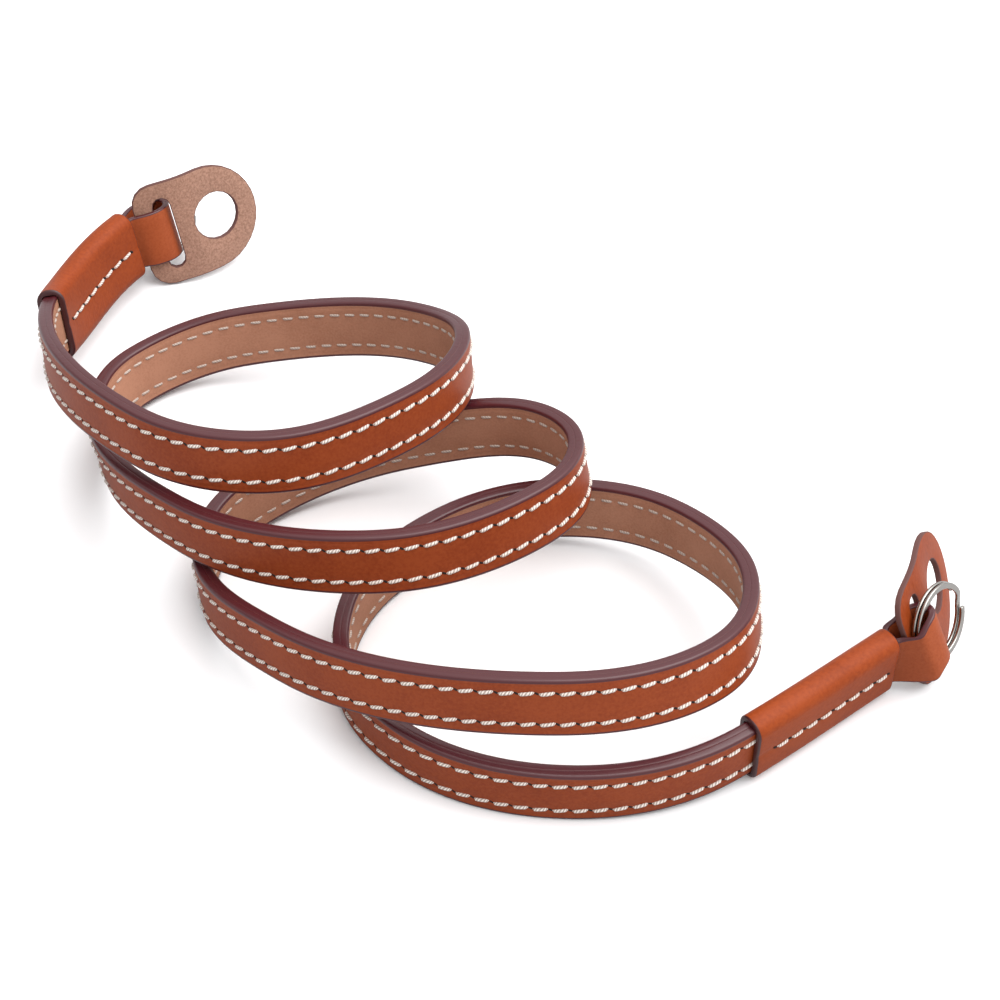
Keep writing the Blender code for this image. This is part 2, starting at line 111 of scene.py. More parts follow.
# Sizes of the finish
VISUAL_STEP = 1.25 * MM     # between the visual strap's sections
EDGE_ROUND = 0.62 * MM      # burnished and painted outer corners
PAINT_LAP = 0.16 * MM       # how far the edge paint laps onto a face
SEAM_HALF = 0.01 * MM       # half of the fine line between the two layers
SEAM_DEPTH = 0.02 * MM
SEAM_BREADTH = 0.06 * MM
STITCH_ROW = 3.85 * MM      # each stitch row from the strap's middle line
STITCH_PITCH = 3.88 * MM
STITCH_LENGTH = 3.35 * MM
THREAD_RADIUS = 0.40 * MM
STITCH_SLANT = 9.5          # degrees, on the outer face
LINING_SLANT = 3
SLEEVE_SLANT = 6
HOLE_SLANT = 38             # degrees, the other way
HOLE_LENGTH = 1.4 * MM
HOLE_BREADTH = 0.7 * MM
HOLE_DEPTH = 0.17 * MM
FIRST_HOLE = 1.4 * MM       # how far the rows of stitches run on inside each sleeve
GROOVE_DEPTH = 0.10 * MM    # where a row of stitches pulls the leather in
CREASE = 5.65 * MM          # a fine pressed line outside each stitch row
CREASE_DEPTH = 0.05 * MM
CREASE_HALF = 0.22 * MM
GROOVE_HALF = 0.95 * MM     # half of a stitch groove's breadth
SLEEVE_PITCH = 3.95 * MM
SLEEVE_FOLD_SEEN = 3.0 * MM # the soft fold above and below, rounder than the solid's
SLEEVE_GROOVE = 0.16 * MM   # where the sleeve's stitches pull it in
SLEEVE_STITCHES = 8
SLEEVE_A_FIRST = 3.0 * MM   # the first hole of each sleeve's row, from the sleeve's start
SLEEVE_B_FIRST = 4.6 * MM
SLEEVE_ROWS = 34            # sections between a sleeve's two lips
SLEEVE_LIP = ((0.0, 0.42), (0.1, 0.2), (0.24, 0.07), (0.42, 0.0))  # in from the mouth, and lower, in mm
LOOP_WIDTH = 13.2 * MM
LOOP_THICKNESS = 1.45 * MM
LOOP_ROUND = 0.4 * MM
LOOP_STEP = 0.5 * MM        # between the visual loop's sections
LOOP_EASING = 14            # rounds of smoothing along a loop
LOOP_MATCH = 0.002 * MM     # how near an edge is to the loop's width or thickness where it crosses it
GUARD_ROUND = 0.22 * MM
WIRE_ROUND = 0.27 * MM

# The camera: it looks along +Y and down at a point just inside the coil
CAMERA_ELEVATION = math.radians(44.2)
CAMERA_DISTANCE = 625.6 * MM
CAMERA_TARGET = np.array([4.46, -1.24, 0.15]) * MM
CAMERA_LENS = 100.9

# The light: a white tent, and a wide lamp over it on the right
TENT_TOP, TENT_HORIZON, TENT_LEAN = 1.45, 0.35, 0.5
LAMP_WAY, LAMP_STRENGTH, LAMP_SPREAD = (0.35, 0.1, 0.9), 2.1, 60


def unit(v):
    return v / np.linalg.norm(v)


def hermite(p0, p1, m0, m1, u):
    h = (2 * u**3 - 3 * u**2 + 1, u**3 - 2 * u**2 + u, -2 * u**3 + 3 * u**2, u**3 - u**2)
    return h[0] * p0 + h[1] * m0 + h[2] * p1 + h[3] * m1


def smooth_values(places, values, at):
    """Values between the given ones, without a kink at any of them."""
    slopes = np.gradient(values, places, axis=0)
    row = np.clip(np.searchsorted(places, at, side="right") - 1, 0, len(places) - 2)
    span = places[row + 1] - places[row]
    u = (at - places[row]) / span
    if values.ndim > 1:
        span = span[:, None]
        u = u[:, None]
    return hermite(values[row], values[row + 1], slopes[row] * span, slopes[row + 1] * span, u)


def strap_frames(points, leans):
    """The strap's own directions at each point: along it, up its width, out of its face."""
    along = np.gradient(points, axis=0)
    along /= np.linalg.norm(along, axis=1)[:, None]
    up = UP - along[:, 2:3] * along
    up /= np.linalg.norm(up, axis=1)[:, None]
    level = np.cross(along, up)
    lean = np.radians(leans)[:, None]
    width = np.cos(lean) * up + np.sin(lean) * level
    return along, width, np.cross(along, width)


def strap_route():
    """Arc length, centres, leans and directions of the strap, at the CAD's sections."""
    table = np.array(ROUTE, dtype=float)
    heading = np.radians(table[:, 0])
    plan = table[:, 1:3] * TURN_RADIUS
    curve = []
    for k in range(len(plan) - 1):
        chord = np.linalg.norm(plan[k + 1] - plan[k]) * ARC_TANGENT
        m0 = chord * np.array([math.cos(heading[k]), math.sin(heading[k])])
        m1 = chord * np.array([math.cos(heading[k + 1]), math.sin(heading[k + 1])])
        for u in np.linspace(0, 1, STEPS_PER_ROW, endpoint=False):
            curve.append(hermite(plan[k], plan[k + 1], m0, m1, u))
    curve.append(plan[-1])
    curve = np.array(curve)
    run = np.concatenate([[0], np.cumsum(np.linalg.norm(np.diff(curve, axis=0), axis=1))])
    rows = run[::STEPS_PER_ROW]
    at = np.linspace(0, run[-1], int(run[-1] / MM))
    leans = smooth_values(rows, table[:, 4], at)
    tip = np.radians(leans)
    half_height = HALF_WIDTH * np.cos(tip) + STRAP_THICKNESS / 2 * np.sqrt(np.sin(tip)**2 + 1e-4)
    z = smooth_values(rows, table[:, 3], at) * STRAP_WIDTH + half_height
    points = np.stack([np.interp(at, run, curve[:, 0]), np.interp(at, run, curve[:, 1]), z], axis=1)
    for _ in range(ROUTE_EASING):
        points[1:-1] = 0.25 * points[:-2] + 0.5 * points[1:-1] + 0.25 * points[2:]
    arc = np.concatenate([[0], np.cumsum(np.linalg.norm(np.diff(points, axis=0), axis=1))])
    even = np.linspace(0, arc[-1], round(arc[-1] / CAD_STEP) + 1)
    points = np.stack([np.interp(even, arc, points[:, k]) for k in range(3)], axis=1)
    leans = np.interp(even, arc, leans)
    return (even, points) + strap_frames(points, leans)


def part_of(route, start, end, step):
    """The stretch of the route from start to end in sections a step apart."""
    at = np.linspace(start, end, max(round((end - start) / step), 1) + 1)
    fields = []
    for k, values in enumerate(route[1:]):
        field = smooth_values(route[0], values, at)
        if k:
            field = field / np.linalg.norm(field, axis=1)[:, None]
        fields.append(field)
    return (at, *fields)


def corner_of_cad(route):
    """Lowest corner of the CAD's outer layer, as the route gives it before the part is centred."""
    outer = LAYER_GAP / 2 + LAYER
    shoulder = outer - CAD_EDGE_ROUND
    outline = [(LAYER_GAP / 2, -HALF_WIDTH), (shoulder, -HALF_WIDTH),
               (outer, -HALF_WIDTH + CAD_EDGE_ROUND), (outer, HALF_WIDTH - CAD_EDGE_ROUND),
               (shoulder, HALF_WIDTH), (LAYER_GAP / 2, HALF_WIDTH)]
    inside = SLEEVE_LENGTH - STRAP_IN_SLEEVE
    arc = route[0]
    inner = arc[(arc > inside + CAD_STEP / 3) & (arc < arc[-1] - inside - CAD_STEP / 3)]
    at = np.concatenate([[inside], inner, [arc[-1] - inside]])
    centres, _, widths, faces = (np.stack([np.interp(at, arc, f[:, k]) for k in range(3)], axis=1)
                                 for f in route[1:])
    return np.min([centres + faces * f + widths * w for f, w in outline], axis=(0, 1))


# Materials

def linear(hex_colour):
    """An sRGB hex colour as linear RGBA."""
    parts = [int(hex_colour[k:k + 2], 16) / 255 for k in (1, 3, 5)]
    return (*(c / 12.92 if c <= 0.04045 else ((c + 0.055) / 1.055) ** 2.4 for c in parts), 1)


def add(tree, kind, inputs=None, **settings):
    """Adds a node with its settings, its constant values and its links."""
    made = tree.nodes.new(kind)
    for name, value in settings.items():
        setattr(made, name, value)
    for socket, value in (inputs or {}).items():
        if isinstance(value, bpy.types.NodeSocket):
            tree.links.new(value, made.inputs[socket])
        else:
            made.inputs[socket].default_value = value
    return made


def new_material(name, **shader_values):
    """A material with one Principled shader, whose plain values are set on its sockets."""
    mat = bpy.data.materials.new(name)
    mat.use_nodes = True
    shader = mat.node_tree.nodes["Principled BSDF"]
    for socket, value in shader_values.items():
        shader.inputs[socket.replace("_", " ")].default_value = value
    return mat, mat.node_tree, shader


def leather(name, light, dark, roughness, grain_mm=0.45, grain_depth=0.02, mottle=0.5, **values):
    """Vegetable-tanned cowhide: cloudy colour over centimetres, and fine pores for a grain."""
    mat, tree, shader = new_material(name, Roughness=roughness, Specular_IOR_Level=0.14, **values)
    place = add(tree, "ShaderNodeTexCoord").outputs["Object"]
    clouds = add(tree, "ShaderNodeTexNoise", {"Vector": place, "Scale": 1 / (14 * MM), "Detail": 3.0,
                                              "Roughness": 0.55})
    pores = add(tree, "ShaderNodeTexNoise", {"Vector": place, "Scale": 1 / (grain_mm * MM), "Detail": 2.0,
                                             "Roughness": 0.6})
    spread = add(tree, "ShaderNodeMapRange", {"Value": clouds.outputs["Fac"], "From Min": 0.3,
                                              "From Max": 0.7})
    fine = add(tree, "ShaderNodeMapRange", {"Value": pores.outputs["Fac"], "From Min": 0.3,
                                            "From Max": 0.7, "To Min": -0.3, "To Max": 0.3})
    share = add(tree, "ShaderNodeMath", {0: spread.outputs["Result"], 1: mottle,
                                         2: fine.outputs["Result"]},
                operation="MULTIPLY_ADD", use_clamp=True)
    tint = add(tree, "ShaderNodeMix", {0: share.outputs["Value"], 6: linear(light), 7: linear(dark)},
               data_type="RGBA")
    tree.links.new(tint.outputs[2], shader.inputs["Base Color"])
    bump = add(tree, "ShaderNodeBump", {"Height": pores.outputs["Fac"], "Strength": 0.5,
                                        "Distance": grain_depth * MM})
    tree.links.new(bump.outputs["Normal"], shader.inputs["Normal"])
    return mat


def edge_paint(name, colour, roughness):
    """Burnished edge under wax and dark edge paint, which pools a little and stays glossy."""
    mat, tree, shader = new_material(name, Roughness=roughness, Specular_IOR_Level=0.5, Coat_Weight=0.2,
                                     Coat_Roughness=0.25)
    shader.inputs["Base Color"].default_value = linear(colour)
    place = add(tree, "ShaderNodeTexCoord").outputs["Object"]
    waves = add(tree, "ShaderNodeTexNoise", {"Vector": place, "Scale": 1 / (1.1 * MM), "Detail": 3.0})
    bump = add(tree, "ShaderNodeBump", {"Height": waves.outputs["Fac"], "Strength": 0.6,
                                        "Distance": 0.06 * MM})
    tree.links.new(bump.outputs["Normal"], shader.inputs["Normal"])
    return mat


def suede(name, light, dark):
    """The flesh side of the hide, left rough: a matt nap with specks under a millimetre."""
    mat, tree, shader = new_material(name, Roughness=0.95, Sheen_Weight=0.25, Sheen_Roughness=0.5)
    place = add(tree, "ShaderNodeTexCoord").outputs["Object"]
    nap = add(tree, "ShaderNodeTexNoise", {"Vector": place, "Scale": 1 / (0.55 * MM), "Detail": 4.0,
                                           "Roughness": 0.7})
    share = add(tree, "ShaderNodeMapRange", {"Value": nap.outputs["Fac"], "From Min": 0.36,
                                             "From Max": 0.64})
    tint = add(tree, "ShaderNodeMix", {0: share.outputs["Result"], 6: linear(light), 7: linear(dark)},
               data_type="RGBA")
    tree.links.new(tint.outputs[2], shader.inputs["Base Color"])
    bump = add(tree, "ShaderNodeBump", {"Height": nap.outputs["Fac"], "Strength": 0.9,
                                        "Distance": 0.12 * MM})
    tree.links.new(bump.outputs["Normal"], shader.inputs["Normal"])
    return mat


def waxed_thread(name, light, dark):
    """Waxed linen thread: off-white, with its twist as slanting lines whose darker bands are painted
    shade in the grooves between its plies.
    """
    mat, tree, shader = new_material(name, Roughness=0.7)
    place = add(tree, "ShaderNodeUVMap", uv_map="twist").outputs["UV"]
    lines = add(tree, "ShaderNodeTexWave", {"Vector": place, "Scale": 0.7, "Distortion": 0.6,
                                            "Detail": 1.0}, bands_direction="DIAGONAL")
    # Painted shade: the wave's darker bands stand for the shade in the grooves of the twist
    tint = add(tree, "ShaderNodeMix", {0: lines.outputs["Fac"], 6: linear(dark), 7: linear(light)},
               data_type="RGBA")
    tree.links.new(tint.outputs[2], shader.inputs["Base Color"])
    return mat


def plain(name, colour, roughness, **values):
    mat, _, shader = new_material(name, Roughness=roughness, **values)
    shader.inputs["Base Color"].default_value = linear(colour)
    return mat


FACE_LEATHER = leather("vegetable tanned cowhide, waxed saddle tan", "#964523", "#7B3016", 0.42,
                       grain_mm=0.7, grain_depth=0.05)
LINING_LEATHER = leather("vegetable tanned cowhide, natural lining", "#B5836A", "#A06F57", 0.75,
                         mottle=0.7)
SLEEVE_LEATHER = leather("vegetable tanned cowhide, tan sleeve", "#94411B", "#7A3011", 0.44,
                         grain_mm=0.75, grain_depth=0.07)
LOOP_LEATHER = leather("vegetable tanned cowhide, tan loop", "#A04F2D", "#8A3F20", 0.48,
                       grain_mm=0.6, grain_depth=0.06)
STRAP_EDGE = edge_paint("burnished edge, burgundy paint", "#48131A", 0.36)
MOUTH_EDGE = edge_paint("sleeve edge, burgundy paint", "#3A1012", 0.4)
GUARD_EDGE = plain("cut edge, dyed brown", "#5F3A35", 0.7)
SUEDE = suede("split cowhide, sueded", "#AE8470", "#8A6552")
THREAD = waxed_thread("waxed linen thread", "#F2E9E1", "#A3948A")
LINING_THREAD = waxed_thread("waxed linen thread, worn in", "#C9BBB0", "#A09085")
# Painted shade: a near-black lens at each awl hole stands for the shadow inside the hole
AWL_HOLE_SHADE = plain("painted shade of an awl hole", "#1E0F0C", 0.9)
NICKEL = plain("nickel plated spring steel", "#ACA9A4", 0.18, Metallic=1.0)


# Shapes

def face_outwards(bm):
    bmesh.ops.recalc_face_normals(bm, faces=bm.faces)
    if bm.calc_volume(signed=True) < 0:
        bmesh.ops.reverse_faces(bm, faces=bm.faces)


def add_piece(name, bm, materials, nodes=(), smooth_to=45):
    """A piece of the object, in place in its mesh, that rides on the one body."""
    mesh = bpy.data.meshes.new(name)
    bm.to_mesh(mesh)
    bm.free()
    for mat in materials:
        mesh.materials.append(mat)
    mesh.shade_smooth()
    mesh.set_sharp_from_angle(angle=math.radians(smooth_to))
    piece = bpy.data.objects.new(name, mesh)
    bpy.context.scene.collection.objects.link(piece)
    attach(piece, "root")
    if nodes:
        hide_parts(*nodes)
    return piece


def lofted(sections, row_materials=None, column_materials=None, hollow=False):
    """A bmesh grid rolled into a tube through like sections, closed at its ends."""
    if hollow:
        sections = sections + sections[:1]
    rows, columns = len(sections), len(sections[0])
    bm = bmesh.new()
    bmesh.ops.create_grid(bm, x_segments=columns, y_segments=rows - 1, size=1)
    bm.verts.ensure_lookup_table()
    for k, vert in enumerate(bm.verts):
        vert.co = sections[k // (columns + 1)][k % (columns + 1) % columns]
    for face in bm.faces:
        ids = [vert.index for vert in face.verts]
        if column_materials:
            column = min(k % (columns + 1) for k in ids)
            face.material_index = column_materials[column]
        if row_materials:
            row = min(k // (columns + 1) for k in ids)
            face.material_index = row_materials[row]
    bmesh.ops.remove_doubles(bm, verts=bm.verts, dist=1e-6)
    if not hollow:
        bmesh.ops.holes_fill(bm, edges=[e for e in bm.edges if e.is_boundary])
    face_outwards(bm)
    return bm


def layer_outline(side):
    """One layer's section with its painted round edge, stitch grooves and crease lines.

    Returns its points, in face and width coordinates, and the material of each stretch.
    """
    outer = LAYER_GAP / 2 + LAYER
    inner = SEAM_HALF
    half = HALF_WIDTH
    rim = [(inner, half - SEAM_DEPTH), (inner + SEAM_BREADTH, half - SEAM_DEPTH / 5),
           (inner + 0.3 * MM, half)]
    for k in range(6):
        angle = math.pi / 2 * k / 5
        rim.append((outer - EDGE_ROUND + EDGE_ROUND * math.sin(angle),
                    half - EDGE_ROUND + EDGE_ROUND * math.cos(angle)))
    rim.append((outer, half - EDGE_ROUND - PAINT_LAP))
    flat = [(outer, CREASE + CREASE_HALF), (outer - CREASE_DEPTH, CREASE), (outer, CREASE - CREASE_HALF),
            (outer, STITCH_ROW + GROOVE_HALF), (outer - GROOVE_DEPTH * 0.6, STITCH_ROW + 0.45 * MM),
            (outer - GROOVE_DEPTH, STITCH_ROW), (outer - GROOVE_DEPTH * 0.6, STITCH_ROW - 0.45 * MM),
            (outer, STITCH_ROW - GROOVE_HALF), (outer, 0.9 * MM)]
    upper = rim + flat
    paint = [1] * (len(rim) - 1) + [0] * (len(flat) + 1)
    points = upper + [(f, -w) for f, w in upper[::-1]]
    stretches = paint[:-1] + [0] + paint[:-1][::-1] + [0]
    return [(f * side, w) for f, w in points], stretches


def make_layer(name, route, side, mats, node):
    outline, stretches = layer_outline(side)
    _, centres, _, widths, faces = route
    sections = [[c + n * f + w * b for f, b in outline] for c, w, n in zip(centres, widths, faces)]
    bm = lofted(sections, column_materials=stretches)
    return add_piece(name, bm, mats, (node,), smooth_to=60)


def rounded_outline(half_face, half_width, radius, steps, groove=0.0):
    """A rectangle with round corners, in face and width coordinates, and a groove along each face."""
    radius = min(radius, half_face * 0.98)
    outline = []
    dents = ((3.2, 0), (1.3, 0), (0.6, 0.6), (0, 1), (-0.6, 0.6), (-1.3, 0), (-3.2, 0))
    for k, (sf, sw) in enumerate(((1, 1), (-1, 1), (-1, -1), (1, -1))):
        for s in range(steps + 1):
            angle = math.pi / 2 * (k + s / steps)
            outline.append((sf * (half_face - radius) + radius * math.cos(angle),
                            sw * (half_width - radius) + radius * math.sin(angle)))
        if k == 1:
            outline += [(-half_face + groove * share, w * MM) for w, share in dents]
        if k == 3:
            outline += [(half_face - groove * share, w * MM) for w, share in dents[::-1]]
    return outline


def make_sleeve(name, route, node):
    """A wrap of leather with a soft fold above and below and painted edges at its two mouths."""
    inner_face = STRAP_THICKNESS / 2 + CLEARANCE
    inner_width = HALF_WIDTH + CLEARANCE
    at, centres, _, widths, faces = route
    length = at[-1] - at[0]
    places = [d * MM for d, _ in SLEEVE_LIP]
    drops = [s * MM for _, s in SLEEVE_LIP]
    middle = np.linspace(1.2 * MM, length - 1.2 * MM, SLEEVE_ROWS)
    places = places + list(middle) + [length - p for p in places[::-1]]
    drops = drops + [0.0] * SLEEVE_ROWS + drops[::-1]
    outside = []
    inside = []
    for place, drop in zip(places, drops):
        centre, width, face = (np.array([np.interp(at[0] + place, at, field[:, k]) for k in range(3)])
                               for field in (centres, widths, faces))
        outline = rounded_outline(inner_face + SLEEVE_WALL - drop, inner_width + SLEEVE_WALL - drop,
                                  SLEEVE_FOLD_SEEN - drop / 2, 7, SLEEVE_GROOVE)
        outside.append([centre + face * f + width * w for f, w in outline])
        outline = rounded_outline(inner_face, inner_width, SLEEVE_FOLD - SLEEVE_WALL, 7)
        inside.append([centre + face * f + width * w for f, w in outline])
    rows = len(places)
    paint = [1] * 3 + [0] * (rows - 1 - 6) + [1] * 3
    row_materials = paint + [1] + [1] * 3 + [2] * (rows - 1 - 6) + [1] * 3 + [1]
    bm = lofted(outside + inside[::-1], row_materials=row_materials, hollow=True)
    return add_piece(name, bm, (SLEEVE_LEATHER, MOUTH_EDGE, LINING_LEATHER), (node,),
                     smooth_to=60)


def smooth_sides(bm, sharp):
    """The mesh's faces in groups that meet only at sharp edges, the largest group first."""
    left = set(bm.faces)
    groups = []
    while left:
        group = {left.pop()}
        front = list(group)
        while front:
            for edge in front.pop().edges:
                if edge.calc_face_angle(0) > sharp:
                    continue
                for face in edge.link_faces:
                    if face in left:
                        left.remove(face)
                        group.add(face)
                        front.append(face)
        groups.append(group)
    return sorted(groups, key=lambda g: -sum(f.calc_area() for f in g))


def softened(name, node, mats, radius, sides=None):
    """A copy of a CAD solid with round edges. Its two largest sides take the first and second
    material, the one that faces the given way the first, and its rims take the third."""
    bm = bmesh.new()
    bm.from_mesh(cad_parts[node].data)
    bmesh.ops.remove_doubles(bm, verts=bm.verts, dist=1e-5)
    face_outwards(bm)
    sharp = math.radians(42)
    rim_material = -1
    if sides is not None:
        rim_material = 2
        groups = smooth_sides(bm, sharp)
        for face in bm.faces:
            face.material_index = 2
        for group in groups[:2]:
            facing = sum(np.dot(face.normal, sides) * face.calc_area() for face in group)
            for face in group:
                face.material_index = 0 if facing > 0 else 1
    edges = [e for e in bm.edges if e.calc_face_angle(0) > sharp]
    bmesh.ops.bevel(bm, geom=edges, offset=radius, segments=3, profile=0.5, affect="EDGES",
                    material=rim_material, clamp_overlap=True)
    return add_piece(name, bm, mats, (node,), smooth_to=50)


def loop_sections(node):
    """The rectangles that a CAD loop was lofted through, from end to end: their middles, outward
    and width directions."""
    bm = bmesh.new()
    bm.from_mesh(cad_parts[node].data)
    bmesh.ops.remove_doubles(bm, verts=bm.verts, dist=1e-5)

    def across(vert, length):
        return [e.other_vert(vert) for e in vert.link_edges if abs(e.calc_length() - length) < LOOP_MATCH]

    found = {}
    for a in bm.verts:
        for b in across(a, LOOP_WIDTH):
            for c in across(a, LOOP_THICKNESS):
                for d in across(b, LOOP_THICKNESS):
                    if a.co.z < b.co.z and d in across(c, LOOP_WIDTH):
                        found.setdefault(frozenset((a, b, c, d)), (a, b, c, d))
    # a rectangle that the mesh's own faces fill lies on a side, unless it closes an end
    filled = {key for key in found if any(key.issuperset(f.verts) for v in key for f in v.link_faces)}
    crossed = set().union(*(key for key in found if key not in filled))
    found = {key: ring for key, ring in found.items() if key not in filled or not key & crossed}
    owner = {}
    for key in found:
        for vert in key:
            owner.setdefault(vert, key)
    beside = {key: {owner[e.other_vert(v)] for v in key for e in v.link_edges} - {key} for key in found}
    line = [next(key for key in found if len(beside[key]) == 1)]
    while len(line) < len(found):
        line.append(next(key for key in beside[line[-1]] if key not in line))
    rows = []
    for key in line:
        a, b, c, d = (np.array(vert.co) for vert in found[key])
        outward = unit(c - a)
        if rows and np.dot(outward, rows[-1][1]) < 0:
            outward = -outward
        rows.append(((a + b + c + d) / 4, outward, unit(b - a)))
    bm.free()
    return [np.array(field) for field in zip(*rows)]


def make_loop(name, node):
    """The loop again through the CAD's sections, with its turns eased and its rims round and painted."""
    centres, outwards, widths = loop_sections(node)
    run = np.concatenate([[0], np.cumsum(np.linalg.norm(np.diff(centres, axis=0), axis=1))])
    at = np.linspace(0, run[-1], round(run[-1] / LOOP_STEP) + 1)
    fields = []
    for field in (centres, outwards, widths):
        eased = np.stack([np.interp(at, run, field[:, k]) for k in range(3)], axis=1)
        for _ in range(LOOP_EASING):
            eased[1:-1] = 0.25 * eased[:-2] + 0.5 * eased[1:-1] + 0.25 * eased[2:]
        fields.append(eased)
    outline = rounded_outline(LOOP_THICKNESS / 2, LOOP_WIDTH / 2, LOOP_ROUND, 3)
    paint = [1] * 7 + [0] * 8
    sections = [[c + unit(o) * f + unit(w) * b for f, b in outline] for c, o, w in zip(*fields)]
    bm = lofted(sections, column_materials=paint + paint)
    return add_piece(name, bm, (LOOP_LEATHER, STRAP_EDGE), (node,), smooth_to=60)


# Stitches

def thread_shape(length, radius, dive):
    """One stitch along X: a thread whose two ends dive into the leather."""
    bm = bmesh.new()
    uv = bm.loops.layers.uv.new("twist")
    bmesh.ops.create_uvsphere(bm, u_segments=6, v_segments=7, radius=1)
    for face in bm.faces:
        for loop in face.loops:
            x, y, z = loop.vert.co
            loop[uv].uv = ((z + 1) * 2.4, math.atan2(y, x) / math.pi)
    for vert in bm.verts:
        x, y, z = vert.co
        around = math.hypot(x, y)
        swell = min(around * 1.25, 1) / max(around, 1e-6)
        reach = math.copysign(abs(z) ** 0.8, z)
        vert.co = (reach * length / 2, x * swell * radius, y * swell * radius - dive * reach**6)
    return bm


# The awl hole's dark lens: painted shade set on the leather, not a real opening
def hole_shape(length, breadth, depth):
    bm = bmesh.new()
    bm.loops.layers.uv.new("twist")
    bmesh.ops.create_uvsphere(bm, u_segments=8, v_segments=4, radius=1)
    for vert in bm.verts:
        vert.co = (vert.co.x * length / 2, vert.co.y * breadth / 2, vert.co.z * depth)
    return bm


def set_down(whole, shape, point, axes, material):
    """Adds a shape to a whole, with its X, Y and Z along the given axes."""
    before = len(whole.verts)
    faces_before = len(whole.faces)
    whole.from_mesh(shape)
    whole.verts.ensure_lookup_table()
    whole.faces.ensure_lookup_table()
    for vert in whole.verts[before:]:
        x, y, z = vert.co
        vert.co = point + axes[0] * x + axes[1] * y + axes[2] * z
    for face in whole.faces[faces_before:]:
        face.material_index = material


def as_mesh(name, bm):
    mesh = bpy.data.meshes.new(name)
    bm.to_mesh(mesh)
    bm.free()
    return mesh


def turned(along, across, degrees):
    angle = math.radians(degrees)
    return (along * math.cos(angle) + across * math.sin(angle),
            across * math.cos(angle) - along * math.sin(angle))


def stitch_row(whole, route, start, end, across, depth, side, pitch, slant, stitch, hole):
    """Stitches from start to end along the route, with a dark lens of painted shade for an awl hole
    between each two.
    """
    count = round((end - start) / pitch)
    arc, centres, alongs, widths, faces = route
    for k in range(count + 1):
        for shape, at, material in ((hole, start + k * pitch, 1), (stitch, start + (k + 0.5) * pitch, 0)):
            if at > start + (count + 0.2) * pitch:
                continue
            centre, along, width, face = (np.array([np.interp(at, arc, field[:, i]) for i in range(3)])
                                          for field in (centres, alongs, widths, faces))
            out = unit(face) * side
            tilt = slant if material == 0 else -HOLE_SLANT * np.sign(slant)
            x, y = turned(unit(along), unit(width), tilt)
            point = centre + width * across + out * depth
            if material == 1:
                point = centre + width * across + out * (depth - THREAD_RADIUS * 0.45 - 0.06 * MM)
            set_down(whole, shape, point, (x, y, out), material)


def make_stitching(name, route, rows, mats, thread_radius, length):
    whole = bmesh.new()
    whole.loops.layers.uv.new("twist")
    stitch = as_mesh("stitch", thread_shape(length, thread_radius, thread_radius * 1.2))
    hole = as_mesh("awl hole", hole_shape(HOLE_LENGTH, HOLE_BREADTH, HOLE_DEPTH))
    for row in rows:
        stitch_row(whole, route, *row, stitch, hole)
    return add_piece(name, whole, mats, (), smooth_to=70)


# Build the object

route = strap_route()
total = route[0][-1]
shift = np.array(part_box("strap_face")[0]) - corner_of_cad(route)
route = (route[0], route[1] + shift, *route[2:])

inside = SLEEVE_LENGTH - STRAP_IN_SLEEVE
strap = part_of(route, inside, total - inside, VISUAL_STEP)
make_layer("strap_face_leather", strap, 1, (FACE_LEATHER, STRAP_EDGE), "strap_face")
make_layer("strap_lining_leather", strap, -1, (LINING_LEATHER, STRAP_EDGE), "strap_lining")

sleeve_a = part_of(route, 0, SLEEVE_LENGTH, VISUAL_STEP)
sleeve_b = part_of(route, total - SLEEVE_LENGTH, total, VISUAL_STEP)
make_sleeve("sleeve_a_leather", sleeve_a, "sleeve_a")
make_sleeve("sleeve_b_leather", sleeve_b, "sleeve_b")

face_surface = LAYER_GAP / 2 + LAYER - GROOVE_DEPTH + THREAD_RADIUS * 0.45
first = SLEEVE_LENGTH - FIRST_HOLE
last = total - SLEEVE_LENGTH + FIRST_HOLE
make_stitching("face_stitches", strap,
               [(first, last, row, face_surface, 1, STITCH_PITCH, STITCH_SLANT)
                for row in (STITCH_ROW, -STITCH_ROW)],
               (THREAD, AWL_HOLE_SHADE), THREAD_RADIUS, STITCH_LENGTH)
make_stitching("lining_stitches", strap,
               [(first, last, row, face_surface - 0.1 * MM, -1, STITCH_PITCH, LINING_SLANT)
                for row in (STITCH_ROW, -STITCH_ROW)],
               (LINING_THREAD, AWL_HOLE_SHADE), THREAD_RADIUS * 0.8, STITCH_LENGTH * 0.82)

sleeve_surface = STRAP_THICKNESS / 2 + CLEARANCE + SLEEVE_WALL + THREAD_RADIUS * 0.3
sleeve_run = SLEEVE_PITCH * SLEEVE_STITCHES
for name, stretch, begin in (("a", sleeve_a, SLEEVE_A_FIRST),
                             ("b", sleeve_b, total - SLEEVE_LENGTH + SLEEVE_B_FIRST)):
    make_stitching(f"sleeve_{name}_stitches", stretch,
                   [(begin, begin + sleeve_run, 0, sleeve_surface, side, SLEEVE_PITCH, slant)
                    for side, slant in ((1, SLEEVE_SLANT), (-1, -SLEEVE_SLANT))],
                   (THREAD, AWL_HOLE_SHADE), THREAD_RADIUS * 0.85, STITCH_LENGTH * 0.9)

# Which way each guard's sueded side faces
SUEDE_WAY = {"a": (0.54, -0.77, 0.34), "b": (-0.91, 0.22, -0.35)}
for name in ("a", "b"):
    make_loop(f"end_loop_{name}_leather", f"end_loop_{name}")
    softened(f"ring_guard_{name}_leather", f"ring_guard_{name}", (SUEDE, SLEEVE_LEATHER, GUARD_EDGE),
             GUARD_ROUND, SUEDE_WAY[name])
    softened(f"split_ring_{name}_wire", f"split_ring_{name}", (NICKEL,),
             WIRE_ROUND)

# The surface it lies on, the lights and the camera

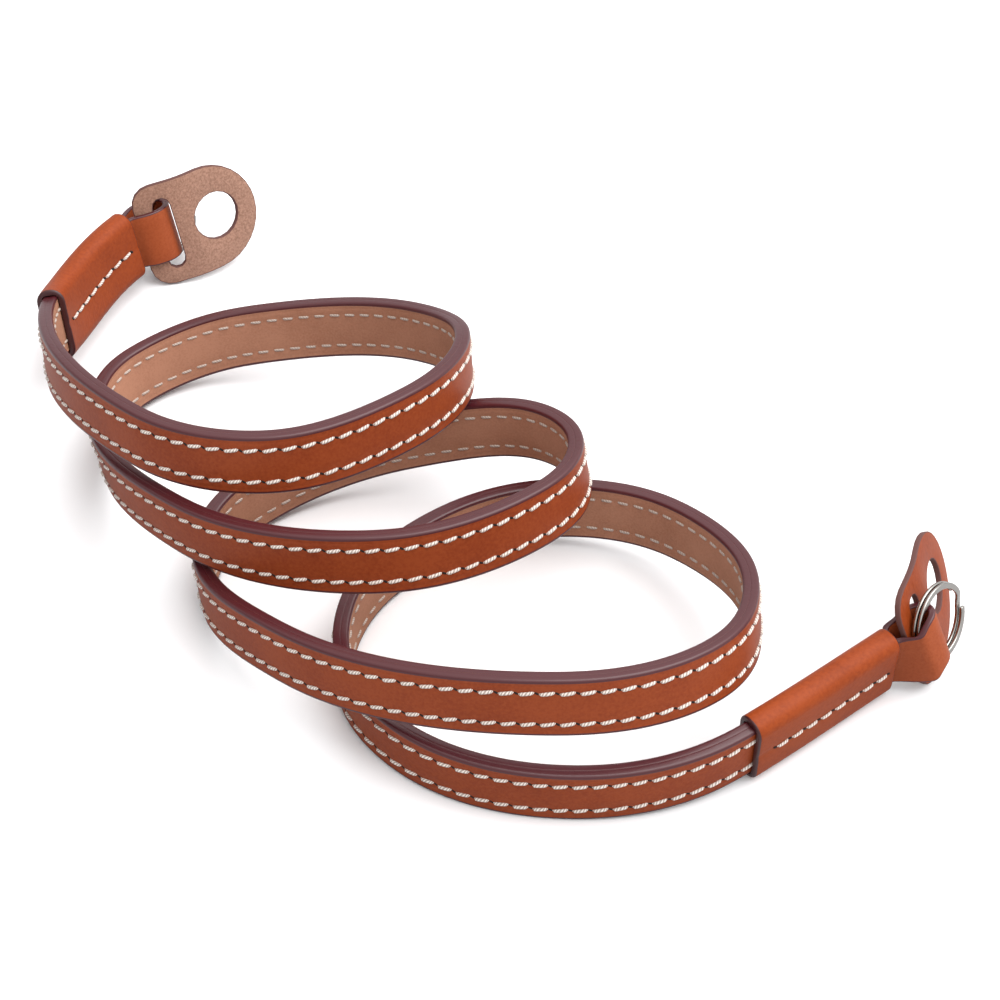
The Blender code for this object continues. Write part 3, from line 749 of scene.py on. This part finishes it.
def make_floor():
    """White paper to the camera and greyer to the leather, since little light came from below."""
    bm = bmesh.new()
    bmesh.ops.create_grid(bm, x_segments=1, y_segments=1, size=3)
    mesh = as_mesh("floor", bm)
    mat, tree, shader = new_material("matt white paper", Roughness=0.95, Specular_IOR_Level=0.2)
    seen = add(tree, "ShaderNodeLightPath").outputs["Is Camera Ray"]
    tint = add(tree, "ShaderNodeMix", {0: seen, 6: linear("#BDBDBF"), 7: linear("#FBFBFC")},
               data_type="RGBA")
    tree.links.new(tint.outputs[2], shader.inputs["Base Color"])
    mesh.materials.append(mat)
    floor = bpy.data.objects.new("floor", mesh)
    bpy.context.scene.collection.objects.link(floor)


def aim(obj, target):
    way = np.array(target) - np.array(obj.location)
    across = unit(np.cross(way, UP))
    over = np.cross(across, unit(way))
    obj.rotation_mode = "XYZ"
    columns = np.stack([across, over, -unit(way)], axis=1)
    obj.rotation_euler = (math.atan2(columns[2, 1], columns[2, 2]), math.asin(-columns[2, 0]),
                          math.atan2(columns[1, 0], columns[0, 0]))


def soft_sun(way, strength, spread):
    """A far, wide light from the given way, so that the whole surface is lit alike."""
    light = bpy.data.lights.new("wide lamp overhead", "SUN")
    light.energy = strength
    light.angle = math.radians(spread)
    lamp = bpy.data.objects.new(light.name, light)
    lamp.location = way
    aim(lamp, (0, 0, 0))
    bpy.context.scene.collection.objects.link(lamp)


def make_world(top, horizon, lean):
    """A white tent: full overhead, dimmer towards the horizon and the left, so that gloss shows."""
    world = bpy.data.worlds.new("white tent")
    bpy.context.scene.world = world
    world.use_nodes = True
    tree = world.node_tree
    way = add(tree, "ShaderNodeTexCoord").outputs["Generated"]
    parts = add(tree, "ShaderNodeSeparateXYZ", {"Vector": way})
    height = add(tree, "ShaderNodeMapRange", {"Value": parts.outputs["Z"], "From Min": -0.05,
                                              "From Max": 0.75, "To Min": horizon, "To Max": top})
    side = add(tree, "ShaderNodeMapRange", {"Value": parts.outputs["X"], "From Min": -1.0,
                                            "From Max": 1.0, "To Min": 1 - lean, "To Max": 1 + lean})
    strength = add(tree, "ShaderNodeMath", {0: height.outputs["Result"], 1: side.outputs["Result"]},
                   operation="MULTIPLY")
    tree.links.new(strength.outputs["Value"], tree.nodes["Background"].inputs["Strength"])
    tree.nodes["Background"].inputs["Color"].default_value = (1, 1, 1, 1)


def make_camera():
    camera = bpy.data.objects.new("camera", bpy.data.cameras.new("camera"))
    camera.data.sensor_width = 36
    camera.data.lens = CAMERA_LENS
    back = np.array([0, -math.cos(CAMERA_ELEVATION), math.sin(CAMERA_ELEVATION)])
    camera.location = CAMERA_TARGET + back * CAMERA_DISTANCE
    camera.rotation_euler = (math.pi / 2 - CAMERA_ELEVATION, 0, 0)
    bpy.context.scene.collection.objects.link(camera)
    bpy.context.scene.camera = camera


make_floor()
make_world(TENT_TOP, TENT_HORIZON, TENT_LEAN)
soft_sun(LAMP_WAY, LAMP_STRENGTH, LAMP_SPREAD)
make_camera()
bpy.context.scene.view_settings.view_transform = "Standard"
